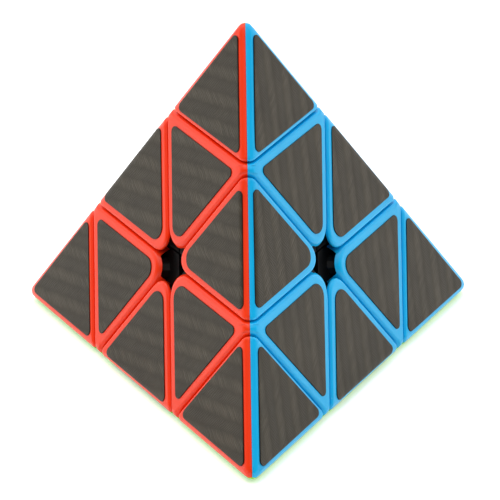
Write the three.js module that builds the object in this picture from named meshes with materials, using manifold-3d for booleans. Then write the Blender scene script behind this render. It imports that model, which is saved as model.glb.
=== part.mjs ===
// A pyramid twisty puzzle: a regular tetrahedron cut into four tips, four axial pieces and six edge pieces,
// all held by a ball core with four screwed arms.
//
// Millimetres, +Z up.  The origin is the centre of the core, where the four turning axes cross, and +Z runs
// through the top tip.  The puzzle stands on its green face, and its front corner points to -Y.
//
// Each visible piece is a black inner frame that carries one coloured shell for each face it shows.  A shell
// is a face panel with side walls along the cuts.  An edge piece's frame ends in a foot between two spheres,
// which hooks under the two axial pieces beside it.  Every surface that slides is a plane, cone or sphere
// round a turning axis, so each layer turns all the way round.
import * as THREE from "three";
import { ConvexGeometry } from "three/addons/geometries/ConvexGeometry.js";
import { mergeVertices } from "three/addons/utils/BufferGeometryUtils.js";
import Module from "manifold-3d";

const wasm = await Module();
wasm.setup();

// ---- Driving dimensions ----

const EDGE = 100; // edge of the tetrahedron to its sharp corners; the rounding makes it 94 wide
const TURN_GAP = 0.4; // between two pieces that turn against each other
const SEAM_GAP = 0.24; // between two coloured shells of one piece
const FIT_GAP = 0.3; // between pieces that are pressed or screwed together
const WALL = 1.8; // thickness of a coloured shell
const SKIRT = 3.4; // how deep a shell's side walls reach from the face
const PIECE_ROUND = 0.75; // radius along a piece's outline and at its corners
const OUTER_ROUND = 2.3; // radius along the edges of the whole pyramid and at its four corners
const AXIAL_CENTRE_ROUND = 5; // radius of the axial pieces' corners in the middle of a face
const EDGE_CENTRE_ROUND = 4; // and of the edge pieces' corners there
const ROUND_FACETS = 3; // flats that stand for each of the larger radii
const TIP_EXTRA = 0.5; // how much deeper than a third of the height a tip is cut

const CORE_RADIUS = 8.6;
const FOOT_INNER = 9.2; // spheres that an edge piece's foot lies between
const FOOT_OUTER = 13.8;
const FOOT_ANGLE = 69; // degrees from a turning axis to the side of a foot
const HOLLOW_RADIUS = FOOT_OUTER + TURN_GAP; // sphere that clears the feet from the axial frames

const ARM_RADIUS = 3.1;
const ARM_TOP = 13.5; // distance from the centre, as are the next heights
const ARM_HOLE_BOTTOM = 3;
const STEM_RADIUS = 5;
const STEM_BOTTOM = 9.1;
const STEM_ROOT = 18; // inside the frame, where the stem ends
const ARM_BORE_RADIUS = ARM_RADIUS + FIT_GAP;
const SHELF_BOTTOM = 14;
const SHELF_TOP = 16.2; // the spring presses here
const CHAMBER_RADIUS = 4.6;
const CHAMBER_TOP = 31.2;
const CHAMBER_WALL = 1.5;
const NECK_RADIUS = 3.7;

const SCREW_RADIUS = 1.5;
const SCREW_HOLE_RADIUS = SCREW_RADIUS + FIT_GAP;
const SCREW_BOTTOM = 4;
const HEAD_RADIUS = 3.2;
const HEAD_BOTTOM = 26;
const HEAD_TOP = 28;
const RECESS = { length: 3.6, width: 0.8, depth: 1.2 }; // the cross for the screwdriver

const SPRING_RADIUS = 2.75; // to the middle of the wire
const SPRING_WIRE_RADIUS = 0.36;
const SPRING_TURNS = 5;
const SPRING_STEPS_PER_TURN = 8;
const SPRING_WIRE_SIDES = 5;

const CLIP_RADIUS = 3.2; // the tip's snap-in stem
const CLIP_BARB_RADIUS = 4.2;
const CLIP_BOTTOM = 28.8;
const CLIP_BARB_TOP = CHAMBER_TOP - TURN_GAP;
const CLIP_ROOT = 37; // inside the tip's frame, where the stem ends
const CLIP_SLOT = { width: 1.2, top: 33 };

const RIB = 1.5; // walls left round the hollows under the shells
const POCKET_FLOOR = 9; // how deep those hollows reach from the face

const ROUND_SIDES = 20; // sides of screws, bores and stems
const CONE_SIDES = 32;
const BALL_DETAIL = 3; // subdivisions of each sphere
const LONG = 200; // longer than the puzzle, for tools that cut right through

// ---- Places worked out from the edge ----

const INRADIUS = EDGE / Math.sqrt(24); // centre to face
const CORNER_DISTANCE = 3 * INRADIUS; // centre to sharp corner
const LAYER = (4 * INRADIUS) / 3; // the height is three layers
const TIP_CUT = CORNER_DISTANCE - LAYER - TIP_EXTRA; // cut under a tip, from the centre
const DEEP_CUT = CORNER_DISTANCE - 2 * LAYER; // cut under a whole turning layer

const SLOPE = Math.sqrt(8) / 3; // how far sideways a lower corner's direction goes
const lowerCorner = (degrees) => {
  const angle = THREE.MathUtils.degToRad(degrees);
  return new THREE.Vector3(SLOPE * Math.cos(angle), SLOPE * Math.sin(angle), -1 / 3);
};
const CORNERS = {
  top: new THREE.Vector3(0, 0, 1),
  front: lowerCorner(-90),
  right: lowerCorner(30),
  left: lowerCorner(150),
};
const NAMES = Object.keys(CORNERS);
const FACE_OPPOSITE = { top: "green", front: "yellow", right: "red", left: "blue" };

// ---- Materials ----

const plastic = (color, roughness) => new THREE.MeshStandardMaterial({ color, roughness, metalness: 0 });
const MATERIALS = {
  red: plastic(0xf0402c, 0.35),
  blue: plastic(0x1ea0e8, 0.35),
  green: plastic(0x62cc2e, 0.35),
  yellow: plastic(0xf5d020, 0.35),
  frame: plastic(0x17171a, 0.55),
  core: plastic(0x202024, 0.5),
  screw: new THREE.MeshStandardMaterial({ color: 0xb4b8bc, roughness: 0.3, metalness: 1 }),
  spring: new THREE.MeshStandardMaterial({ color: 0x9a9ea3, roughness: 0.35, metalness: 1 }),
};

// ---- Solids ----

// The closed solid of a three.js geometry.
function solid(geometry) {
  const bare = new THREE.BufferGeometry().setAttribute("position", geometry.getAttribute("position"));
  bare.setIndex(geometry.index);
  const merged = mergeVertices(bare, 1e-4);
  const vertProperties = merged.attributes.position.array;
  const triVerts = new Uint32Array(merged.index.array);
  return new wasm.Manifold(new wasm.Mesh({ numProp: 3, vertProperties, triVerts }));
}

function geometryOf(shape) {
  const { vertProperties, triVerts } = shape.getMesh();
  const geometry = new THREE.BufferGeometry();
  geometry.setAttribute("position", new THREE.BufferAttribute(vertProperties, 3));
  geometry.setIndex(new THREE.BufferAttribute(triVerts, 1));
  geometry.computeVertexNormals();
  return geometry;
}

// A profile of [radius, height] pairs, from bottom to top, turned round +Z.
function turned(profile) {
  const points = profile.map(([radius, height]) => new THREE.Vector2(radius, height));
  return solid(new THREE.LatheGeometry(points, ROUND_SIDES).rotateX(Math.PI / 2));
}

const rod = (radius, bottom, top) => turned([[0, bottom], [radius, bottom], [radius, top], [0, top]]);
const ball = (radius) => solid(new THREE.IcosahedronGeometry(radius, BALL_DETAIL));

function box(x, y, bottom, top) {
  return solid(new THREE.BoxGeometry(x, y, top - bottom).translate(0, 0, (bottom + top) / 2));
}

// ---- Planes ----

// A half space, normal . x <= distance.
const plane = (normal, distance) => ({ normal, distance });
const inset = (planes, depth) => planes.map(({ normal, distance }) => plane(normal, distance - depth));

// The outer face opposite a corner, and the two sides of a cut round a corner's axis.
const face = (name) => plane(CORNERS[name].clone().negate(), INRADIUS);
const above = (name, cut) => plane(CORNERS[name].clone().negate(), -(cut + TURN_GAP / 2));
const below = (name, cut) => plane(CORNERS[name].clone(), cut - TURN_GAP / 2);

// The plane that touches a rounding of this radius where two or more planes meet.
function rounded(planes, radius) {
  const normal = new THREE.Vector3();
  planes.forEach((each) => normal.add(each.normal));
  const length = normal.length();
  const reach = planes.reduce((sum, each) => sum + each.distance - radius, 0);
  return plane(normal.divideScalar(length), reach / length + radius);
}

// Several planes round the corner between two planes, which are as far from the centre as each other.
function roundedCorner(a, b, radius) {
  const angle = a.normal.angleTo(b.normal);
  const middle = a.normal.clone().add(b.normal);
  const centre = middle.multiplyScalar((a.distance - radius) / (1 + a.normal.dot(b.normal)));
  const planes = [];
  for (let i = 1; i <= ROUND_FACETS; i++) {
    const share = i / (ROUND_FACETS + 1);
    const normal = a.normal.clone().multiplyScalar(Math.sin((1 - share) * angle));
    normal.addScaledVector(b.normal, Math.sin(share * angle)).normalize();
    planes.push(plane(normal, normal.dot(centre) + radius));
  }
  return planes;
}

// The solid inside a set of planes.
function within(planes) {
  const tolerance = 1e-6;
  const corners = [];
  const cross = new THREE.Vector3();
  for (let i = 0; i < planes.length; i++) {
    for (let j = i + 1; j < planes.length; j++) {
      for (let k = j + 1; k < planes.length; k++) {
        const [a, b, c] = [planes[i], planes[j], planes[k]];
        const determinant = a.normal.dot(cross.crossVectors(b.normal, c.normal));
        if (Math.abs(determinant) < tolerance) continue;
        const point = new THREE.Vector3();
        point.addScaledVector(cross, a.distance);
        point.addScaledVector(cross.crossVectors(c.normal, a.normal), b.distance);
        point.addScaledVector(cross.crossVectors(a.normal, b.normal), c.distance);
        point.divideScalar(determinant);
        const isInside = planes.every((each) => each.normal.dot(point) <= each.distance + tolerance);
        if (isInside && corners.every((each) => each.distanceTo(point) > tolerance)) corners.push(point);
      }
    }
  }
  return solid(new ConvexGeometry(corners));
}

// ---- The three kinds of piece, as planes: outer faces, sides along the cuts, and the rounding between ----

// The flats along a pyramid edge between two faces, and along their ends at these cuts.
function outerEdge(a, b, cuts) {
  const flats = roundedCorner(a, b, OUTER_ROUND);
  return [...flats, ...cuts.flatMap((cut) => flats.map((flat) => rounded([flat, cut], PIECE_ROUND)))];
}

function tipPlanes() {
  const faces = ["front", "right", "left"].map(face);
  const base = above("top", TIP_CUT);
  const roundings = [rounded(faces, OUTER_ROUND)];
  faces.forEach((a, i) => {
    const b = faces[(i + 1) % faces.length];
    roundings.push(rounded([a, base], PIECE_ROUND), ...outerEdge(a, b, [base]));
  });
  return { faces, sides: [base], roundings };
}

function axialPlanes() {
  const names = ["front", "right", "left"];
  const faces = names.map(face);
  const cuts = names.map((name) => below(name, DEEP_CUT));
  const top = below("top", TIP_CUT);
  const roundings = [];
  for (let i = 0; i < names.length; i++) {
    const next = (i + 1) % names.length;
    const last = (i + 2) % names.length;
    roundings.push(rounded([faces[i], top], PIECE_ROUND));
    roundings.push(rounded([faces[i], cuts[next]], PIECE_ROUND));
    roundings.push(rounded([faces[i], cuts[last]], PIECE_ROUND));
    roundings.push(...outerEdge(faces[next], faces[last], []));
    roundings.push(...roundedCorner(cuts[next], cuts[last], AXIAL_CENTRE_ROUND));
  }
  return { faces, sides: [...cuts, top, above("top", DEEP_CUT)], roundings };
}

function edgePlanes() {
  const faces = ["right", "left"].map(face);
  const cuts = ["top", "front"].map((name) => above(name, DEEP_CUT));
  const roundings = [...outerEdge(...faces, cuts), ...roundedCorner(...cuts, EDGE_CENTRE_ROUND)];
  cuts.forEach((cut) => faces.forEach((each) => roundings.push(rounded([each, cut], PIECE_ROUND))));
  return { faces, sides: cuts, roundings };
}

// The planes that part one face's share of a piece, which is nearer to it, from the shares of the others.
function seams(name, others, gap) {
  return others.map((other) => {
    const normal = CORNERS[name].clone().sub(CORNERS[other]).normalize();
    return plane(normal, -gap);
  });
}

// The coloured shell under one face: a panel with side walls, open towards the frame.
function shellOf({ faces, sides, roundings }, name, others) {
  const outside = within([...faces, ...sides, ...roundings, ...seams(name, others, SEAM_GAP / 2)]);
  const cavity = within(inset([...faces, ...sides, ...roundings], WALL));
  const opening = within([...inset(faces, SKIRT), ...inset(sides, -WALL)]);
  return outside.subtract(cavity).subtract(opening);
}

// The black frame under the shells of one piece.
function frameOf({ faces, sides, roundings }) {
  const filling = within(inset([...faces, ...sides, ...roundings], WALL + FIT_GAP));
  const middle = within([...inset(faces, SKIRT + FIT_GAP), ...sides]);
  return filling.add(middle);
}

// The hollow in a frame under one face, which the shell covers.
function pocketOf({ sides }, name, others) {
  const floor = plane(CORNERS[name].clone(), POCKET_FLOOR - INRADIUS);
  const walls = inset(sides, WALL + FIT_GAP + RIB);
  return within([face(name), floor, ...walls, ...seams(name, others, RIB / 2)]);
}

// ---- Tip ----

// The split stem that snaps through the neck of the axial piece and turns there.
function clip() {
  const stem = turned([
    [0, CLIP_BOTTOM],
    [CLIP_RADIUS, CLIP_BOTTOM],
    [CLIP_BARB_RADIUS, CLIP_BARB_TOP - 0.8],
    [CLIP_BARB_RADIUS, CLIP_BARB_TOP],
    [CLIP_RADIUS, CLIP_BARB_TOP],
    [CLIP_RADIUS, CLIP_ROOT],
    [0, CLIP_ROOT],
  ]);
  const { width, top } = CLIP_SLOT;
  return stem.subtract(box(LONG, width, 0, top)).subtract(box(width, LONG, 0, top));
}

function tipFrame() {
  const piece = tipPlanes();
  let frame = frameOf(piece);
  for (const name of ["front", "right", "left"]) {
    frame = frame.subtract(pocketOf(piece, name, othersOf(name)));
  }
  return frame.add(clip());
}

// ---- Axial piece ----

// Bore for the core's arm, shelf for the spring, chamber for the screw, and the neck that holds the clip.
function axialBore() {
  return turned([
    [0, 0],
    [ARM_BORE_RADIUS, 0],
    [ARM_BORE_RADIUS, SHELF_BOTTOM],
    [SCREW_HOLE_RADIUS, SHELF_BOTTOM],
    [SCREW_HOLE_RADIUS, SHELF_TOP],
    [CHAMBER_RADIUS, SHELF_TOP],
    [CHAMBER_RADIUS, CHAMBER_TOP],
    [NECK_RADIUS, CHAMBER_TOP],
    [NECK_RADIUS, LONG],
    [0, LONG],
  ]);
}

function axialFrame() {
  const piece = axialPlanes();
  const boss = rod(CHAMBER_RADIUS + CHAMBER_WALL, 0, TIP_CUT);
  let frame = frameOf(piece).subtract(ball(HOLLOW_RADIUS));
  for (const name of ["front", "right", "left"]) {
    frame = frame.subtract(pocketOf(piece, name, othersOf(name)).subtract(boss));
  }
  return frame.add(rod(STEM_RADIUS, STEM_BOTTOM, STEM_ROOT)).subtract(axialBore());
}

// ---- Edge piece ----

// A cone round a turning axis, with its point at the centre.
function footCone(name) {
  const reach = Math.tan(THREE.MathUtils.degToRad(FOOT_ANGLE)) * FOOT_OUTER;
  const cone = new THREE.ConeGeometry(reach, FOOT_OUTER, CONE_SIDES);
  cone.rotateX(-Math.PI / 2).translate(0, 0, FOOT_OUTER / 2);
  const turn = new THREE.Quaternion().setFromUnitVectors(CORNERS.top, CORNERS[name]);
  return solid(cone.applyQuaternion(turn));
}

function edgeFrame() {
  const piece = edgePlanes();
  const foot = ball(FOOT_OUTER).intersect(footCone("top")).intersect(footCone("front"));
  const frame = frameOf(piece).add(foot).subtract(ball(FOOT_INNER));
  return frame.subtract(pocketOf(piece, "right", ["left"])).subtract(pocketOf(piece, "left", ["right"]));
}

// ---- Core, screws and springs ----

function coreSolid() {
  let core = ball(CORE_RADIUS);
  const arm = geometryOf(rod(ARM_RADIUS, 0, ARM_TOP));
  const hole = geometryOf(rod(SCREW_HOLE_RADIUS, ARM_HOLE_BOTTOM, LONG));
  for (const name of NAMES) core = core.add(solid(arm.clone().applyQuaternion(cornerTurn(name))));
  for (const name of NAMES) core = core.subtract(solid(hole.clone().applyQuaternion(cornerTurn(name))));
  return core;
}

function screwSolid() {
  const body = turned([
    [0, SCREW_BOTTOM],
    [SCREW_RADIUS, SCREW_BOTTOM + SCREW_RADIUS],
    [SCREW_RADIUS, HEAD_BOTTOM],
    [HEAD_RADIUS, HEAD_BOTTOM],
    [HEAD_RADIUS, HEAD_TOP - 0.6],
    [HEAD_RADIUS - 0.8, HEAD_TOP],
    [0, HEAD_TOP],
  ]);
  const { length, width, depth } = RECESS;
  const slot = box(length, width, HEAD_TOP - depth, HEAD_TOP + depth);
  return body.subtract(slot).subtract(box(width, length, HEAD_TOP - depth, HEAD_TOP + depth));
}

class Helix extends THREE.Curve {
  constructor(radius, bottom, top, turns) {
    super();
    Object.assign(this, { radius, bottom, top, turns });
  }

  getPoint(share, target = new THREE.Vector3()) {
    const angle = 2 * Math.PI * this.turns * share;
    const height = THREE.MathUtils.lerp(this.bottom, this.top, share);
    return target.set(this.radius * Math.cos(angle), this.radius * Math.sin(angle), height);
  }
}

function springSolid() {
  const end = SPRING_WIRE_RADIUS + FIT_GAP;
  const path = new Helix(SPRING_RADIUS, SHELF_TOP + end, HEAD_BOTTOM - end, SPRING_TURNS);
  const section = new THREE.Shape();
  for (let i = 0; i < SPRING_WIRE_SIDES; i++) {
    const angle = (2 * Math.PI * i) / SPRING_WIRE_SIDES;
    const point = [SPRING_WIRE_RADIUS * Math.cos(angle), SPRING_WIRE_RADIUS * Math.sin(angle)];
    if (i === 0) section.moveTo(...point);
    else section.lineTo(...point);
  }
  const steps = SPRING_TURNS * SPRING_STEPS_PER_TURN;
  return solid(new THREE.ExtrudeGeometry(section, { steps, extrudePath: path, bevelEnabled: false }));
}

// ---- Assembly ----

function othersOf(name) {
  return ["front", "right", "left"].filter((other) => other !== name);
}

// The turn that takes the top corner to corner a and the front corner to corner b.
function turnTo(a, b) {
  const basis = (up, towards) => {
    const x = new THREE.Vector3().crossVectors(towards, up).normalize();
    const y = new THREE.Vector3().crossVectors(up, x);
    return new THREE.Matrix4().makeBasis(x, y, up);
  };
  const home = basis(CORNERS.top, CORNERS.front).transpose();
  const turn = basis(CORNERS[a], CORNERS[b]).multiply(home);
  return new THREE.Quaternion().setFromRotationMatrix(turn);
}

// The turn that stands a piece modelled at the top on another corner.
function cornerTurn(name) {
  return name === "top" ? new THREE.Quaternion() : turnTo(name, "top");
}

function nearestCorner(direction) {
  const closeness = NAMES.map((name) => direction.dot(CORNERS[name]));
  return NAMES[closeness.indexOf(Math.max(...closeness))];
}

function meshOf(name, geometry, material) {
  const mesh = new THREE.Mesh(geometry, material);
  mesh.name = name;
  return mesh;
}

// A group at this turn with a frame and its coloured shells.  Both were modelled in one place, the shell
// under the face opposite the right corner, and shellTurns place its copies under the other faces.
function pieceGroup(name, turn, frame, shell, shellTurns) {
  const group = new THREE.Group();
  group.quaternion.copy(turn);
  group.add(meshOf(name + "_frame", frame, MATERIALS.frame));
  for (const shellTurn of shellTurns) {
    const away = CORNERS.right.clone().applyQuaternion(shellTurn).applyQuaternion(turn);
    const colour = FACE_OPPOSITE[nearestCorner(away)];
    const mesh = meshOf(name + "_shell_" + colour, shell, MATERIALS[colour]);
    mesh.quaternion.copy(shellTurn);
    group.add(mesh);
  }
  return group;
}

const turnAbout = (axis, angle) => new THREE.Quaternion().setFromAxisAngle(axis, angle);
const THIRDS = [0, 1, 2].map((i) => turnAbout(CORNERS.top, (2 * Math.PI * i) / 3));
const TOP_FRONT_MIDDLE = CORNERS.top.clone().add(CORNERS.front).normalize();
const HALVES = [0, Math.PI].map((angle) => turnAbout(TOP_FRONT_MIDDLE, angle));

const shells = {
  tip: geometryOf(shellOf(tipPlanes(), "right", othersOf("right"))),
  axial: geometryOf(shellOf(axialPlanes(), "right", othersOf("right"))),
  edge: geometryOf(shellOf(edgePlanes(), "right", ["left"])),
};
const frames = {
  tip: geometryOf(tipFrame()),
  axial: geometryOf(axialFrame()),
  edge: geometryOf(edgeFrame()),
};
const screwGeometry = geometryOf(screwSolid());
const springGeometry = geometryOf(springSolid());

const puzzle = new THREE.Group();
puzzle.add(meshOf("core", geometryOf(coreSolid()), MATERIALS.core));

for (const name of NAMES) {
  const turn = cornerTurn(name);
  const hardware = new THREE.Group();
  hardware.quaternion.copy(turn);
  hardware.add(meshOf("screw_" + name, screwGeometry, MATERIALS.screw));
  hardware.add(meshOf("spring_" + name, springGeometry, MATERIALS.spring));
  puzzle.add(hardware);
  puzzle.add(pieceGroup("axial_" + name, turn, frames.axial, shells.axial, THIRDS));
  puzzle.add(pieceGroup("tip_" + name, turn, frames.tip, shells.tip, THIRDS));
}

NAMES.forEach((a, i) => {
  for (const b of NAMES.slice(i + 1)) {
    puzzle.add(pieceGroup("edge_" + a + "_" + b, turnTo(a, b), frames.edge, shells.edge, HALVES));
  }
});

export default puzzle;
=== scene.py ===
"""The looks of the pyramid twisty puzzle: fine coloured shells, stickers and materials round its CAD frame.

Every shell is one patch of a smooth surface.  That surface is the rounded meeting of the piece's planes: the
outer faces of the pyramid, and the cuts between layers.  A cut is flat round its turning axis and curls
towards the corner near the pyramid's edges.  It has the same shape all round its axis, so layers still turn.
"""
import math

import bpy
import numpy as np
from mathutils import Matrix, Vector


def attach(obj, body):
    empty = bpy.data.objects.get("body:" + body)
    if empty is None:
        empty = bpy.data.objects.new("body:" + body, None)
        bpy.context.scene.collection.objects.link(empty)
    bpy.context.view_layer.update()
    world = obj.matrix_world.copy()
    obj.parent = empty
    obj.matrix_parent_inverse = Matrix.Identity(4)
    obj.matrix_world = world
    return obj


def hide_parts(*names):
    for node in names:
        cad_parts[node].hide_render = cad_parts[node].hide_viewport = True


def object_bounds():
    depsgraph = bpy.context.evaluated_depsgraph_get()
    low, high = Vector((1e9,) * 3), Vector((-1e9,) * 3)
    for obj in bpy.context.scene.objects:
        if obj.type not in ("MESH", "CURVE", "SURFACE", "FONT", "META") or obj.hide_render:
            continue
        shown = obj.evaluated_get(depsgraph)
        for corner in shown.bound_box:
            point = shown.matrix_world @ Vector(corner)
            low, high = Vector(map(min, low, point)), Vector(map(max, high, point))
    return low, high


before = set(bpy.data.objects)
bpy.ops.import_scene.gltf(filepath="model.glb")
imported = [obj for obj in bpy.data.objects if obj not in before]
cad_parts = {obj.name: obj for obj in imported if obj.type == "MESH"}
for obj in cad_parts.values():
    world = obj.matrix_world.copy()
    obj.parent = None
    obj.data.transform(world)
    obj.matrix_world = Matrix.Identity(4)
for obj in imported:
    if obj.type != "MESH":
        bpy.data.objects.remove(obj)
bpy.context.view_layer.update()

MM = 0.001

# ---- Driving dimensions, in metres ----

INRADIUS = -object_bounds()[0].z  # the puzzle stands on a face, so its lowest point gives the centre to face
CORNER_DISTANCE = 3 * INRADIUS  # centre to sharp corner
LAYER = 4 * INRADIUS / 3
TIP_EXTRA = 0.5 * MM  # how much thicker a tip is than the other layers
TIP_CUT = CORNER_DISTANCE - LAYER - TIP_EXTRA  # cut under a tip, from the centre
DEEP_CUT = CORNER_DISTANCE - 2 * LAYER  # cut under a whole turning layer
FACET_INRADIUS = INRADIUS * math.sqrt(2) / 3  # middle of a facet to its sides

TURN_GAP = 0.3 * MM  # between pieces that turn against each other, at the flat of the cut
SEAM_GAP = 0.05 * MM  # between two shells of one piece
SKIRT = 3.4 * MM  # how deep a shell's side walls reach
SHORT_SKIRT = 1.0 * MM  # and round the hole in the middle of a face, where the black frames show
HOLE_REACH = 5.6 * MM  # how far from the middle of a face the skirt is short
FULL_SKIRT_REACH = 7.4 * MM  # and from where it has its full depth
WALL = 1.7 * MM  # thickness of a shell
PIECE_ROUND = 0.75 * MM  # along a piece's outline
OUTER_ROUND = 2.3 * MM  # along the edges of the whole pyramid
EDGE_CENTRE_ROUND = 4 * MM  # the corners that meet in the middle of a face
AXIAL_CENTRE_ROUND = 5 * MM
CURL_ROUND = 3.9 * MM  # how a cut bends near the pyramid's edges, seen from the side
CURL_REACH = 3.46 * MM  # how far before the pyramid's edge that bend starts
CURL_ANGLE = math.acos(math.sqrt(2 / 3))  # makes the cut meet the pyramid's edge squarely
ACUTE = 4 / 3  # turns a radius into the reach of a rounding, where planes meet at 70.5 degrees
OBTUSE = 2 / 3  # and at 109.5 degrees

STICKER_THICKNESS = 0.2 * MM
STICKER_BEVEL = 0.06 * MM
STICKER_SINK = 0.05 * MM  # into the shell, so that no light passes under it
STICKER_INRADIUS = 7.5 * MM
STICKER_CORNER = 1.1 * MM
STICKER_CENTRE_CORNER = 2.5 * MM  # towards the middle of a face
STICKER_RIM = 0.16 * MM  # width of the near-black band round a sticker's edge, over its sides and the edge of its top
TIP_STICKER_SHIFT = 1.25 * MM  # from the middle of a facet towards its tip cut
EDGE_STICKER_SHIFT = 0.05 * MM  # and away from the pyramid's edge
AXIAL_STICKER_SHIFT = 0.35 * MM  # and away from the tip cut
STICKER_SLIP = 0.12 * MM  # how far off, either way, a sticker was put on
STICKER_TWIST = math.radians(0.4)
SEED = 7

# ---- How finely the shells and stickers are made ----

FACET_ROWS = np.array([0.15, 0.32, 0.52, 0.76, 1.05, 1.45, 2.2]) * MM  # in from the outline of the facet
WALL_ROWS = np.array([0.13, 0.3, 0.5, 0.75, 1.05, 1.5, 2.3, 3.4]) * MM  # down from it, along the walls
INNER_FACET_ROWS = np.array([0.8]) * MM
INNER_WALL_SHARES = np.array([0.5, 1])
STICKER_ROWS = np.array([0.5, 0.9, 1.4, 2.2]) * MM  # inside the rim, in from the outline of a sticker
STEP_LENGTH = 1.7 * MM  # longest step along an outline
STEP_TURN = math.radians(5)  # most that an outline turns in one step
OUTLINE_SAMPLES = 721
SIDE_SAMPLES = 600
BISECTIONS = 30
CAST_STEPS = 24
CAST_CLIMB = 0.15  # keeps a ray that grazes a surface from jumping away
MISS = 0.001 * MM  # a ray that ends further than this from its surface has missed it
FAR = 1.0  # past the end of every ray
CUT_LIMIT = 0  # the place of a piece's cuts among the limits of its facets
ARC_STEPS = 9  # points on each corner of a sticker
TINY = 1e-9  # keeps divisions from failing

# ---- Finish ----

TOW_WIDTH = 0.5  # in millimetres, as the weave attribute is
FLOAT_TOWS = 8  # that a tow passes over before it goes under as many
WEFT_PAINTED_SHEEN = 0.3  # painted sheen: how bright a weft tow is painted beside a warp tow, standing in for their different reflection
SHEET_TURN = {  # degrees from each face's first flat axis to its tows
    "top": 0,
    "front": 61,
    "right": 58,
    "left": 116,
}
STICKER_COLOURS = ((0.02, 0.014, 0.004, 1), (0.07, 0.056, 0.034, 1))  # the darkest and the lightest
STICKER_SPECULAR = 0.29
PLASTIC_SPECULAR = 0.33
BLACK_SPECULAR = 0.25
PLASTIC_ROUGHNESS = 0.3
PLASTIC_COLOURS = {  # most of the surface, and its faint clouds
    "red": ((0.92, 0.042, 0.004, 1), (0.88, 0.038, 0.004, 1)),
    "blue": ((0.002, 0.44, 0.82, 1), (0.002, 0.41, 0.78, 1)),
    "green": ((0.2, 0.62, 0.01, 1), (0.24, 0.68, 0.018, 1)),
    "yellow": ((0.92, 0.68, 0.015, 1), (0.88, 0.62, 0.012, 1)),
}

# ---- Camera and light ----

CAMERA_ELEVATION = math.radians(27.91)
CAMERA_AZIMUTH = math.radians(-0.28)
CAMERA_ROLL = math.radians(-0.72)
CAMERA_DISTANCE = 1.038
CAMERA_AIM = Vector((0.4 * MM, 0, 4.53 * MM))
LENS = 355.0
SENSOR = 36.0
FLOOR_REACH = 1.5
FLOOR_CLEARANCE = 0.02 * MM  # under the stickers that the puzzle stands on
FLOOR_GLOW = 0.3  # brings the floor up to plain white
ROOM_FRONT = (-0.35, 0.1)  # the room is dark on the camera's side, up to this far back
ROOM_TOP = (0.55, 0.8)  # and below this height
ROOM_DARK = 0.12
ROOM_BRIGHT = 1.42
KEY_PLACE = (-0.2, 0.25, 1.2)
KEY_SIZE = 1.0
KEY_POWER = 5

# ---- The tetrahedron ----

CORNER_SLOPE = math.sqrt(8) / 3  # how far sideways a lower corner's direction goes


def lower_corner(degrees):
    angle = math.radians(degrees)
    return np.array([CORNER_SLOPE * math.cos(angle), CORNER_SLOPE * math.sin(angle), -1 / 3])


CORNERS = {
    "top": np.array([0.0, 0.0, 1.0]),
    "front": lower_corner(-90),
    "right": lower_corner(30),
    "left": lower_corner(150),
}
NAMES = list(CORNERS)
FACE_COLOUR = {"top": "green", "front": "yellow", "right": "red", "left": "blue"}  # opposite each corner


def others(*names):
    return [name for name in NAMES if name not in names]


# ---- Surfaces: each is a function of points that gives distances outside it and outward directions ----


def face_of(name, depth=0.0):
    """The outer face opposite a corner, or a plane at this depth under it."""
    normal = -CORNERS[name]

    def surface(points):
        return points @ normal - INRADIUS + depth, np.tile(normal, (len(points), 1))

    return surface


def side_of_cut(name, height, sign):
    """One side of the cut round a corner's axis: sign 1 for the pieces under it, -1 for those beyond."""
    axis = CORNERS[name]
    bend_start = (CORNER_DISTANCE - height) / math.sqrt(2) - CURL_REACH

    def surface(points):
        along = points @ axis
        sideways = points - along[:, None] * axis
        radius = np.linalg.norm(sideways, axis=1)
        outward = sideways / np.maximum(radius, TINY)[:, None]
        past = radius - bend_start
        under = CURL_ROUND - (along - height)
        angle = np.clip(np.arctan2(past, under), 0, CURL_ANGLE)
        distance = CURL_ROUND - past * np.sin(angle) - under * np.cos(angle)
        slope = np.cos(angle)[:, None] * axis - np.sin(angle)[:, None] * outward
        return sign * distance + TURN_GAP / 2, sign * slope

    return surface


def beyond(name, height):
    return side_of_cut(name, height, -1)


def under(name, height):
    return side_of_cut(name, height, 1)


def rounded(radius, *surfaces):
    """The surface inside all the given ones, with its edges rounded over this far from each of them."""

    def surface(points):
        pairs = [each(points) for each in surfaces]
        distances = np.array([pair[0] for pair in pairs])
        slopes = np.array([pair[1] for pair in pairs])
        over = np.maximum(distances + radius, 0)
        length = np.sqrt((over**2).sum(0))
        highest = distances.max(0)
        alone = (distances == highest).astype(float)
        weights = np.where(length > TINY, over / np.maximum(length, TINY), alone)
        slope = (weights[:, :, None] * slopes).sum(0)
        slope /= np.linalg.norm(slope, axis=1)[:, None]
        return np.minimum(highest, -radius) + length, slope

    return surface


def cast(surface, origin, directions, start):
    """Where the rays from the origin leave the surface, by Newton's method from the start distances."""
    reach = np.array(start, dtype=float)
    for _ in range(CAST_STEPS):
        distance, slope = surface(origin + reach[:, None] * directions)
        climb = np.maximum((slope * directions).sum(1), CAST_CLIMB)
        reach = np.maximum(reach - distance / climb, 0)
    return origin + reach[:, None] * directions


# ---- The three kinds of piece ----


class Piece:
    """One visible piece: its name, its middle, the faces it shows and the surface of its cuts.

    sharpness is ACUTE or OBTUSE, after the angle between its faces and its cuts.
    """

    def __init__(self, name, middle, faces, cuts, sharpness):
        self.name = name
        self.middle = INRADIUS * middle
        self.faces = faces
        self.cuts = cuts
        outer = rounded(ACUTE * OUTER_ROUND, *[face_of(face) for face in faces])
        self.surface = rounded(sharpness * PIECE_ROUND, outer, cuts)


def tip(name):
    cuts = beyond(name, TIP_CUT)
    return Piece("tip_" + name, 2 * CORNERS[name], others(name), cuts, ACUTE)


def axial(name):
    deep = rounded(ACUTE * AXIAL_CENTRE_ROUND, *[under(other, DEEP_CUT) for other in others(name)])
    cuts = rounded(OBTUSE * PIECE_ROUND, under(name, TIP_CUT), deep)
    return Piece("axial_" + name, CORNERS[name], others(name), cuts, OBTUSE)


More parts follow.
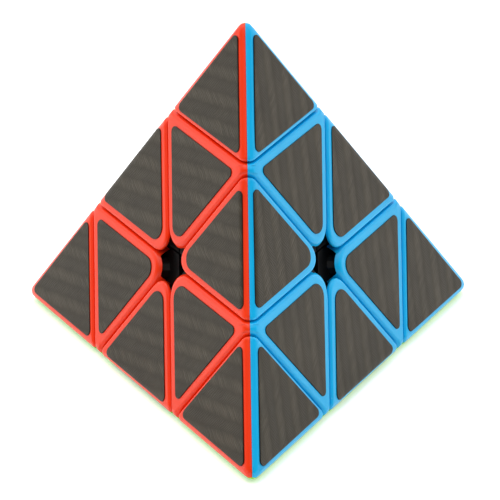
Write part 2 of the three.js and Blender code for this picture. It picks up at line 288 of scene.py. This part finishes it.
def edge(a, b):
    cuts = rounded(ACUTE * EDGE_CENTRE_ROUND, beyond(a, DEEP_CUT), beyond(b, DEEP_CUT))
    return Piece(f"edge_{a}_{b}", CORNERS[a] + CORNERS[b], others(a, b), cuts, ACUTE)


def face_axes(face):
    """The flat axes of a face, both at right angles to its outward normal."""
    normal = -CORNERS[face]
    across = np.cross(normal, [0.0, 0.0, 1.0])
    length = np.linalg.norm(across)
    across = across / length if length > TINY else np.array([1.0, 0.0, 0.0])
    return across, np.cross(normal, across)


# ---- The outline of one facet, at any depth under its face ----


class Facet:
    """The share of a piece that lies under one face, with a flat frame of axes in that face."""

    def __init__(self, piece, face):
        self.piece = piece
        self.face = face
        self.normal = -CORNERS[face]
        self.neighbours = [other for other in piece.faces if other != face]
        self.across, self.up = face_axes(face)
        self.height = INRADIUS - piece.middle @ self.normal

    def centre(self, depth):
        return self.piece.middle + (self.height - depth) * self.normal

    def directions(self, angles):
        return np.outer(np.cos(angles), self.across) + np.outer(np.sin(angles), self.up)

    def limits(self, depth):
        """What bounds the facet at a depth: first the cuts, then a mitre plane for each neighbour."""
        return [self.piece.cuts] + [face_of(other, depth) for other in self.neighbours]

    def outline(self, depth, angles):
        """Points of the outline at these angles, and which limit each lies on."""
        directions = self.directions(angles)
        centre = self.centre(depth)
        limits = self.limits(depth)
        reaches = []
        for limit in limits:
            points = cast(limit, centre, directions, np.full(len(angles), FACET_INRADIUS))
            missed = np.abs(limit(points)[0]) > MISS
            reaches.append(np.where(missed, FAR, np.linalg.norm(points - centre, axis=1)))
        which = np.argmin(reaches, axis=0)
        reach = np.min(reaches, axis=0)
        return centre + reach[:, None] * directions, which

    def sides(self, depth):
        """The stretches of the outline, as (limit, first angle, last angle), in turn round the facet."""
        angles = np.linspace(0, 2 * math.pi, OUTLINE_SAMPLES)
        which = self.outline(depth, angles)[1]
        steps = np.nonzero(np.diff(which))[0]
        low, high = angles[steps], angles[steps + 1]
        for _ in range(BISECTIONS):
            middle = (low + high) / 2
            before = self.outline(depth, middle)[1] == which[steps]
            low = np.where(before, middle, low)
            high = np.where(before, high, middle)
        ends = np.append(high, high[0] + 2 * math.pi)
        return [(which[step + 1], ends[i], ends[i + 1]) for i, step in enumerate(steps)]


def even_angles(facet, side):
    """Angles along one side, closer together where the outline turns."""
    _, first, last = side
    fine = np.linspace(first, last, SIDE_SAMPLES)
    points = facet.outline(0, fine[1:-1])[0]
    steps = np.diff(points, axis=0)
    lengths = np.linalg.norm(steps, axis=1)
    headings = steps / lengths[:, None]
    turning = np.linalg.norm(np.diff(headings, axis=0), axis=1)
    cost = lengths / STEP_LENGTH
    cost[1:] += turning / STEP_TURN
    total = np.concatenate([[0], np.cumsum(cost)])
    count = math.ceil(total[-1])
    wanted = np.linspace(0, total[-1], count + 1)
    angles = np.interp(wanted, total, fine[1:-1])
    angles[0], angles[-1] = first, last
    return angles


# ---- Shells ----


class Skin:
    """One side of a shell, outer or inner: its points and faces, and the lines of points on its border."""

    def __init__(self, facet, facet_rows, wall_shares, rim_depth, thickness):
        self.facet = facet
        self.shrink = 1 - thickness / facet.height
        self.points, self.faces = [], []
        self.mitres, self.rims, self.ends = [], [], []
        sides = facet.sides(0)
        angles = [even_angles(facet, side) for side in sides]
        base = facet.outline(0, np.concatenate([each[:-1] for each in angles]))[0]
        self.loop = self.put(base)
        self.add_facet(base, facet_rows)
        start = 0
        for (kind, _, _), (_, low, high), along in zip(sides, facet.sides(rim_depth), angles):
            columns = [(start + i) % len(base) for i in range(len(along))]
            start += len(along) - 1
            if kind != CUT_LIMIT:
                self.mitres.append([self.loop[i] for i in columns])
                continue
            share = (along - along[0]) / (along[-1] - along[0])
            bottom = facet.outline(rim_depth, low + share * (high - low))[0]
            self.add_wall(columns, base[columns], bottom, wall_shares)

    def put(self, points):
        """Moves points onto the surface along rays from the piece's middle, and keeps them."""
        middle = self.facet.piece.middle
        rays = points - middle
        lengths = np.linalg.norm(rays, axis=1)
        hits = cast(self.facet.piece.surface, middle, rays / lengths[:, None], lengths)
        start = len(self.points)
        self.points.extend(middle + self.shrink * (hits - middle))
        return list(range(start, len(self.points)))

    def bridge(self, a, b):
        for i in range(len(a) - 1):
            self.faces.append([a[i], a[i + 1], b[i + 1], b[i]])

    def add_facet(self, base, rows):
        centre = self.facet.centre(0)
        last = self.loop
        for row in rows:
            ring = self.put(centre + (base - centre) * (1 - row / FACET_INRADIUS))
            self.bridge(last + last[:1], ring + ring[:1])
            last = ring
        self.faces.append(last)

    def add_wall(self, columns, top, bottom, shares):
        away = np.linalg.norm(top - INRADIUS * self.facet.normal, axis=1)
        skirt = np.interp(away, [HOLE_REACH, FULL_SKIRT_REACH], [SHORT_SKIRT / SKIRT, 1])
        rows = [[self.loop[i] for i in columns]]
        for share in shares:
            rows.append(self.put(top + share * skirt[:, None] * (bottom - top)))
            self.bridge(rows[-1], rows[-2])
        self.rims.append(rows[-1])
        self.ends.append([row[0] for row in reversed(rows)])
        self.ends.append([row[-1] for row in rows])


def clear_of_mitres(facet, points):
    """Keeps a hair's breadth between the shells of one piece."""
    for other in facet.neighbours:
        away = facet.normal + CORNERS[other]
        away /= np.linalg.norm(away)
        short = np.maximum(SEAM_GAP / 2 - (points - facet.piece.middle) @ away, 0)
        points = points + short[:, None] * away
    return points


def mesh_of(name, points, faces):
    """A mesh of these points and faces."""
    mesh = bpy.data.meshes.new(name)
    mesh.from_pydata([[float(x) for x in point] for point in points], [], faces)
    return mesh


def add_object(name, data):
    """An object in the scene with this mesh, camera or light."""
    thing = bpy.data.objects.new(name, data)
    bpy.context.scene.collection.objects.link(thing)
    return thing


def shell_mesh(facet):
    """A closed shell: an outer skin, an inner skin at the wall's thickness, and the borders between them."""
    height = facet.height
    inner_rim = height - (height - SKIRT) / (1 - WALL / height)
    outer = Skin(facet, FACET_ROWS, WALL_ROWS / SKIRT, SKIRT, 0)
    inner = Skin(facet, INNER_FACET_ROWS, INNER_WALL_SHARES, inner_rim, WALL)
    count = len(outer.points)
    flat = [[count + i for i in reversed(each)] for each in inner.faces]
    for a, b in zip(outer.mitres + outer.rims, inner.mitres + inner.rims):
        flat += [[a[i + 1], a[i], count + b[i], count + b[i + 1]] for i in range(len(a) - 1)]
    for a, b in zip(outer.ends, inner.ends):
        flat.append(a + [count + i for i in reversed(b)])
    points = clear_of_mitres(facet, np.array(outer.points + inner.points))
    mesh = mesh_of(facet.piece.name, points, outer.faces + flat)
    is_outer = [True] * len(outer.faces) + [False] * len(flat)
    mesh.polygons.foreach_set("use_smooth", is_outer)
    slopes = facet.piece.surface(points)[1]
    normals = []
    for polygon in mesh.polygons:
        for vertex in polygon.vertices:
            normals.append(slopes[vertex] if is_outer[polygon.index] else polygon.normal)
    mesh.normals_split_custom_set([tuple(normal) for normal in normals])
    return mesh


# ---- Stickers ----


def sticker_outline(facet, sides, shift, shift_to, centre_sides):
    """The sticker's outline in the facet's flat axes: an even triangle with round corners.

    sides gives the direction that each side faces.  The sticker's middle lies off the facet's by shift
    towards shift_to, and its corner between the two centre_sides is rounder than the others.
    """
    flat_axes = np.array([facet.across, facet.up])
    headings = {}  # the angle that each side faces
    for name, direction in sides.items():
        x, y = flat_axes @ direction
        headings[name] = math.atan2(y, x) % (2 * math.pi)
    middle = flat_axes @ shift_to
    middle *= shift / np.linalg.norm(middle)
    order = sorted(headings, key=headings.get)
    points = []
    for name, next_name in zip(order, order[1:] + order[:1]):
        start = headings[name]
        end = start + 2 * math.pi / 3
        radius = STICKER_CENTRE_CORNER if {name, next_name} == centre_sides else STICKER_CORNER
        bisector = (start + end) / 2
        reach = 2 * (STICKER_INRADIUS - radius)
        centre = middle + reach * np.array([math.cos(bisector), math.sin(bisector)])
        for angle in np.linspace(start, end, ARC_STEPS):
            points.append(centre + radius * np.array([math.cos(angle), math.sin(angle)]))
    return np.array(points)


def fall_of(facet, flat):
    """How far the piece's surface falls below the face at these flat places on the facet."""
    above = facet.centre(0) + flat @ np.array([facet.across, facet.up])
    fall = np.zeros(len(flat))
    for _ in range(CAST_STEPS):
        distance, slope = facet.piece.surface(above - fall[:, None] * facet.normal)
        fall += distance / (slope @ facet.normal)
    return fall


def sticker_mesh(facet, outline):
    """A thin plate with a softened top edge and a marked rim, bent down where its piece is rounded."""
    slant = math.sqrt(0.5) * STICKER_BEVEL
    top = STICKER_THICKNESS
    side = top - STICKER_BEVEL
    rows = [(0, -STICKER_SINK), (0, side), (STICKER_BEVEL - slant, side + slant)]
    rows += [(inset, top) for inset in (STICKER_BEVEL, STICKER_RIM, *STICKER_ROWS)]
    count = len(outline)
    points = []
    faces = [list(reversed(range(count)))]
    for inset, height in rows:
        shrunk = outline * (1 - inset / np.linalg.norm(outline, axis=1))[:, None]
        points.append(np.column_stack([shrunk, height - fall_of(facet, shrunk)]))
    for row in range(len(rows) - 1):
        for i in range(count):
            j = (i + 1) % count
            faces.append([row * count + i, row * count + j, (row + 1) * count + j, (row + 1) * count + i])
    faces.append([(len(rows) - 1) * count + i for i in range(count)])
    mesh = mesh_of("sticker", np.concatenate(points), faces)
    rim = mesh.attributes.new("rim", "FLOAT", "POINT")
    on_rim = [inset < STICKER_RIM for inset, _ in rows]
    rim.data.foreach_set("value", np.repeat(on_rim, count).astype(float))
    return mesh


# ---- Materials ----


class Nodes:
    """Makes and joins the nodes of one tree."""

    def __init__(self, tree):
        self.tree = tree

    def node(self, kind, inputs=None, **options):
        node = self.tree.nodes.new("ShaderNode" + kind)
        for name, value in options.items():
            setattr(node, name, value)
        for name, value in (inputs or {}).items():
            self.feed(node.inputs[name], value)
        return node

    def feed(self, socket, value):
        if isinstance(value, bpy.types.NodeSocket):
            self.tree.links.new(value, socket)
        else:
            socket.default_value = value

    def math(self, operation, a, b=0.0, c=0.0):
        return self.node("Math", {0: a, 1: b, 2: c}, operation=operation).outputs[0]

    def noise(self, place, scale, detail=2.0, roughness=0.5):
        inputs = {"Vector": place, "Scale": scale, "Detail": detail, "Roughness": roughness}
        return self.node("TexNoise", inputs).outputs["Fac"]

    def noise_colour(self, place, scale):
        return self.node("TexNoise", {"Vector": place, "Scale": scale}).outputs["Color"]

    def between(self, share, low, high):
        """Numbers between low and high as share goes from 0 to 1."""
        return self.node("MapRange", {"Value": share, "To Min": low, "To Max": high}).outputs[0]

    def blend(self, share, a, b):
        """a where share is 0, b where it is 1."""
        return self.node("Mix", {"Factor": share, "A": a, "B": b}).outputs[0]

    def step(self, value, low, high):
        """0 below low, 1 above high and smooth between."""
        inputs = {"Value": value, "From Min": low, "From Max": high}
        return self.node("MapRange", inputs, interpolation_type="SMOOTHSTEP").outputs[0]

    def mix(self, share, a, b):
        """The colour a where share is 0, b where it is 1."""
        node = self.node("Mix", data_type="RGBA")
        colours = [socket for socket in node.inputs if socket.type == "RGBA"]
        self.feed(node.inputs[0], share)
        self.feed(colours[0], a)
        self.feed(colours[1], b)
        return [socket for socket in node.outputs if socket.type == "RGBA"][0]

    def bump(self, height, distance, strength=1.0):
        return self.node("Bump", {"Height": height, "Distance": distance, "Strength": strength}).outputs[0]


class Material(Nodes):
    """A node material in the making, with its main shader."""

    def __init__(self, name):
        self.material = bpy.data.materials.new(name)
        self.material.use_nodes = True
        super().__init__(self.material.node_tree)
        self.shader = self.tree.nodes["Principled BSDF"]

    def set(self, **values):
        for name, value in values.items():
            self.shader.inputs[name.replace("_", " ")].default_value = value

    def feed_shader(self, **values):
        for name, value in values.items():
            self.feed(self.shader.inputs[name.replace("_", " ")], value)


def grey(value):
    return (value, value, value, 1)


def moulded_plastic(name, colour, clouded):
    """Glossy ABS: faint clouds in the colour, a fine moulded grain, and a few pale scuffs."""
    m = Material(name)
    place = m.node("TexCoord").outputs["Object"]
    clouds = m.noise(place, scale=90, detail=3)
    grain = m.noise(place, scale=2600, detail=2)
    scuffs = m.step(m.noise(place, scale=420, detail=4, roughness=0.7), 0.7, 0.76)
    body = m.mix(m.step(clouds, 0.3, 0.7), clouded, colour)
    body = m.mix(m.math("MULTIPLY", scuffs, 0.25), body, grey(0.85))
    rough = m.between(grain, PLASTIC_ROUGHNESS - 0.04, PLASTIC_ROUGHNESS + 0.04)
    rough = m.math("ADD", rough, m.math("MULTIPLY", scuffs, 0.2))
    m.feed_shader(Base_Color=body, Roughness=rough, Normal=m.bump(grain, 0.01 * MM, 0.35))
    m.set(IOR=1.5, Specular_IOR_Level=PLASTIC_SPECULAR)
    return m.material


def twill(m, place):
    """A twill of flat tows with long floats: its height, and its painted sheen (crowns lighter, weft tows
    darker), at a place in millimetres.
    """
    parts = m.node("SeparateXYZ", {"Vector": place})
    u = m.math("DIVIDE", parts.outputs["X"], TOW_WIDTH)
    v = m.math("DIVIDE", parts.outputs["Y"], TOW_WIDTH)
    cell = m.math("ADD", m.math("FLOOR", u), m.math("FLOOR", v))
    phase = m.math("FLOORED_MODULO", cell, 2.0 * FLOAT_TOWS)
    is_weft = m.math("GREATER_THAN", phase, FLOAT_TOWS - 0.5)
    in_u, in_v = m.math("FRACT", u), m.math("FRACT", v)
    across = m.blend(is_weft, in_u, in_v)
    step = m.math("SUBTRACT", phase, m.math("MULTIPLY", is_weft, float(FLOAT_TOWS)))
    along = m.math("DIVIDE", m.math("ADD", step, m.blend(is_weft, in_v, in_u)), float(FLOAT_TOWS))
    crown = m.math("SINE", m.math("MULTIPLY", across, math.pi))
    arch = m.math("SINE", m.math("MULTIPLY", along, math.pi))
    height = m.math("MULTIPLY", m.between(crown, 0.1, 1.0), m.between(arch, 0.3, 1.0))
    tow = m.math("FLOOR", m.blend(is_weft, u, v))
    # painted sheen: a random sheen for each tow, and weft tows painted darker than warp tows
    sheen = m.node("TexWhiteNoise", {"W": tow}, noise_dimensions="1D").outputs["Value"]
    shine = m.math("MULTIPLY", m.between(sheen, 0.5, 1.3), m.blend(is_weft, 1.0, WEFT_PAINTED_SHEEN))
    # tows painted lighter on their crowns: painted shading by their shape
    painted_sheen = m.math("MULTIPLY", height, shine)
    return height, painted_sheen


def carbon_sticker():
    """Dark vinyl embossed like woven carbon fibre, with the weave's sheen painted into its colour, and with
    dust on it.
    """
    m = Material("carbon_sticker")
    place = m.node("Attribute", attribute_name="weave").outputs["Vector"]
    sway = m.noise_colour(place, scale=0.6)
    bent = m.node("VectorMath", {0: place, 1: sway}, operation="ADD").outputs[0]
    height, painted_sheen = twill(m, bent)
    clouds = m.noise(place, scale=0.16, detail=3)
    fibres = m.noise(place, scale=3.5, detail=4, roughness=0.7)
    # the weave's painted sheen, mixed with the vinyl's own faint clouds and fibres
    share = m.math("ADD", m.math("MULTIPLY", painted_sheen, 0.7), m.between(clouds, -0.25, 0.35))
    share = m.math("ADD", share, m.between(fibres, -0.3, 0.3))
    body = m.mix(share, *STICKER_COLOURS)
    dust = m.step(m.noise(place, scale=5.0, detail=3, roughness=0.65), 0.71, 0.78)
    body = m.mix(m.math("MULTIPLY", dust, 0.5), body, grey(0.35))
    rim = m.node("Attribute", attribute_name="rim").outputs["Fac"]
    body = m.mix(m.math("MULTIPLY", rim, 0.9), body, grey(0.002))
    m.feed_shader(Base_Color=body, Roughness=m.between(height, 0.46, 0.38), Normal=m.bump(height, 0.03 * MM))
    m.set(IOR=1.46, Specular_IOR_Level=STICKER_SPECULAR)
    return m.material


def black_plastic(name, shade, roughness):
    """Matt black plastic of the inside, with a moulded grain."""
    m = Material(name)
    place = m.node("TexCoord").outputs["Object"]
    grain = m.noise(place, scale=1800, detail=3)
    body = m.mix(m.noise(place, scale=120), grey(shade), grey(shade * 1.6))
    m.feed_shader(Base_Color=body, Roughness=m.between(grain, roughness - 0.08, roughness + 0.08))
    m.feed_shader(Normal=m.bump(grain, 0.02 * MM, 0.4))
    m.set(Specular_IOR_Level=BLACK_SPECULAR)
    return m.material


def steel(name, shade, roughness):
    """Drawn or machined steel with faint streaks."""
    m = Material(name)
    place = m.node("TexCoord").outputs["Object"]
    streaks = m.noise(place, scale=900, detail=3)
    body = m.mix(streaks, grey(shade * 0.8), grey(shade))
    m.feed_shader(Base_Color=body, Roughness=m.between(streaks, roughness - 0.06, roughness + 0.1))
    m.feed_shader(Normal=m.bump(streaks, 0.01 * MM, 0.3))
    m.set(Metallic=1.0)
    return m.material


PLASTICS = {name: moulded_plastic(name + "_plastic", *colours) for name, colours in PLASTIC_COLOURS.items()}
STICKER = carbon_sticker()
FRAME_PLASTIC = black_plastic("frame_plastic", shade=0.005, roughness=0.5)
CORE_PLASTIC = black_plastic("core_plastic", shade=0.014, roughness=0.4)
SCREW_STEEL = steel("screw_steel", shade=0.62, roughness=0.28)
SPRING_STEEL = steel("spring_steel", shade=0.5, roughness=0.34)

# ---- The pieces in their places ----


def turn_between(from_a, from_b, to_a, to_b):
    """The turn that takes corner from_a to to_a, and from_b to to_b."""

    def basis(a, b):
        x = CORNERS[a]
        z = np.cross(x, CORNERS[b])
        z = z / np.linalg.norm(z)
        return np.array([x, np.cross(z, x), z]).T

    return Matrix((basis(to_a, to_b) @ basis(from_a, from_b).T).tolist()).to_4x4()


def face_frame(facet):
    """Where the facet's own flat axes are, with its middle as the origin."""
    axes = np.array([facet.across, facet.up, facet.normal]).T
    return Matrix.Translation(facet.centre(0)) @ Matrix(axes.tolist()).to_4x4()


def add_weave(mesh, face, phase):
    """Writes where each point lies on the sheet that the face's stickers were cut from, in millimetres."""
    across, up = face_axes(face)
    along_tows = Matrix.Rotation(-math.radians(SHEET_TURN[face]), 3, "Z")
    weave = mesh.attributes.new("weave", "FLOAT_VECTOR", "POINT")
    for vertex, place in zip(mesh.vertices, weave.data):
        flat = Vector((vertex.co.dot(Vector(across)), vertex.co.dot(Vector(up)), 0))
        place.vector = along_tows @ flat / MM + phase


def add_panel(name, colour, base, turn):
    mesh = base.copy()
    mesh.transform(turn)
    mesh.materials.append(PLASTICS[colour])
    panel = add_object(f"{name}_panel_{colour}", mesh)
    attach(panel, name)
    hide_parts(f"{name}_shell_{colour}")


def add_sticker(name, face, base, place, chance):
    mesh = base.copy()
    shift = Matrix.Translation((*chance.uniform(-STICKER_SLIP, STICKER_SLIP, 2), 0))
    twist = Matrix.Rotation(chance.uniform(-STICKER_TWIST, STICKER_TWIST), 4, "Z")
    mesh.transform(place @ shift @ twist)
    add_weave(mesh, face, Vector(chance.uniform(0, 2 * FLOAT_TOWS * TOW_WIDTH, 3)))
    mesh.materials.append(STICKER)
    sticker = add_object(f"{name}_sticker_{FACE_COLOUR[face]}", mesh)
    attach(sticker, name)


def modelled_facets():
    """One facet of each kind of piece, under the red face: the others are copies of it."""
    kinds = {"tip": tip("top"), "axial": axial("top"), "edge": edge("top", "front")}
    return {kind: Facet(piece, "right") for kind, piece in kinds.items()}


def sticker_outlines(facets):
    """The sticker's outline on each kind of facet."""
    layout = {  # which way it points, how far it is shifted and where to, and the sides at its centre corner
        "tip": (-1, TIP_STICKER_SHIFT, -CORNERS["top"], set()),
        "axial": (1, AXIAL_STICKER_SHIFT, -CORNERS["top"], {"front", "left"}),
        "edge": (-1, EDGE_STICKER_SHIFT, CORNERS["left"], {"top", "front"}),
    }
    outlines = {}
    for kind, (pointing, shift, shift_to, centre_sides) in layout.items():
        sides = {name: pointing * CORNERS[name] for name in others("right")}
        outlines[kind] = sticker_outline(facets[kind], sides, shift, shift_to, centre_sides)
    return outlines


def facet_places():
    """Every facet of the puzzle: its kind, its piece's name, its face, and its turn from the first one."""
    for corner in NAMES:
        for face in others(corner):
            turn = turn_between("top", "right", corner, face)
            yield "tip", "tip_" + corner, face, turn
            yield "axial", "axial_" + corner, face, turn
    for i, a in enumerate(NAMES):
        for b in NAMES[i + 1:]:
            first, second = others(a, b)
            yield "edge", f"edge_{a}_{b}", first, turn_between("right", "left", first, second)
            yield "edge", f"edge_{a}_{b}", second, turn_between("right", "left", second, first)


def add_visible_pieces():
    chance = np.random.default_rng(SEED)
    facets = modelled_facets()
    shells = {kind: shell_mesh(facet) for kind, facet in facets.items()}
    stickers = {kind: sticker_mesh(facets[kind], each) for kind, each in sticker_outlines(facets).items()}
    for kind, name, face, turn in facet_places():
        add_panel(name, FACE_COLOUR[face], shells[kind], turn)
        add_sticker(name, face, stickers[kind], turn @ face_frame(facets[kind]), chance)


def finish_hidden_pieces():
    """Gives the CAD pieces that stay their materials."""
    for name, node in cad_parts.items():
        material = FRAME_PLASTIC
        if name == "core":
            material = CORE_PLASTIC
        elif name.startswith("screw"):
            material = SCREW_STEEL
        elif name.startswith("spring"):
            material = SPRING_STEEL
        node.data.materials.clear()
        node.data.materials.append(material)


add_visible_pieces()
finish_hidden_pieces()

# ---- Floor, camera and light ----


def make_floor():
    low = -INRADIUS - STICKER_THICKNESS - FLOOR_CLEARANCE
    corners = [(x * FLOOR_REACH, y * FLOOR_REACH, low) for x, y in ((-1, -1), (1, -1), (1, 1), (-1, 1))]
    m = Material("floor")
    m.set(Base_Color=grey(0.9), Roughness=0.6, Emission_Color=grey(1), Emission_Strength=FLOOR_GLOW)
    mesh = mesh_of("floor", corners, [[0, 1, 2, 3]])
    mesh.materials.append(m.material)
    add_object("floor", mesh)


def make_camera():
    """A long lens that looks down on the front edge."""
    data = bpy.data.cameras.new("camera")
    data.lens = LENS
    data.sensor_width = SENSOR
    camera = add_object("camera", data)
    flat = math.cos(CAMERA_ELEVATION)
    height = math.sin(CAMERA_ELEVATION)
    back = Vector((math.sin(CAMERA_AZIMUTH) * flat, -math.cos(CAMERA_AZIMUTH) * flat, height))
    turn = (-back).to_track_quat("-Z", "Y").to_matrix().to_4x4()
    roll = Matrix.Rotation(CAMERA_ROLL, 4, "Z")
    camera.matrix_world = Matrix.Translation(CAMERA_AIM + back * CAMERA_DISTANCE) @ turn @ roll
    bpy.context.scene.camera = camera


def make_room():
    """A white room, which is dark on the camera's side."""
    world = bpy.data.worlds.new("room")
    bpy.context.scene.world = world
    world.use_nodes = True
    room = Nodes(world.node_tree)
    direction = room.node("TexCoord").outputs["Generated"]
    parts = room.node("SeparateXYZ", {"Vector": direction})
    behind = room.step(parts.outputs["Y"], *ROOM_FRONT)
    above = room.step(parts.outputs["Z"], *ROOM_TOP)
    lit = room.math("MAXIMUM", behind, above)
    background = room.tree.nodes["Background"]
    room.feed(background.inputs["Color"], grey(1))
    room.feed(background.inputs["Strength"], room.between(lit, ROOM_DARK, ROOM_BRIGHT))


def make_key_light():
    data = bpy.data.lights.new("key", "AREA")
    data.size = KEY_SIZE
    data.energy = KEY_POWER
    light = add_object("key", data)
    light.location = KEY_PLACE
    light.rotation_euler = (-Vector(KEY_PLACE)).to_track_quat("-Z", "Y").to_euler()


make_floor()
make_camera()
make_room()
make_key_light()
bpy.context.scene.view_settings.view_transform = "Standard"
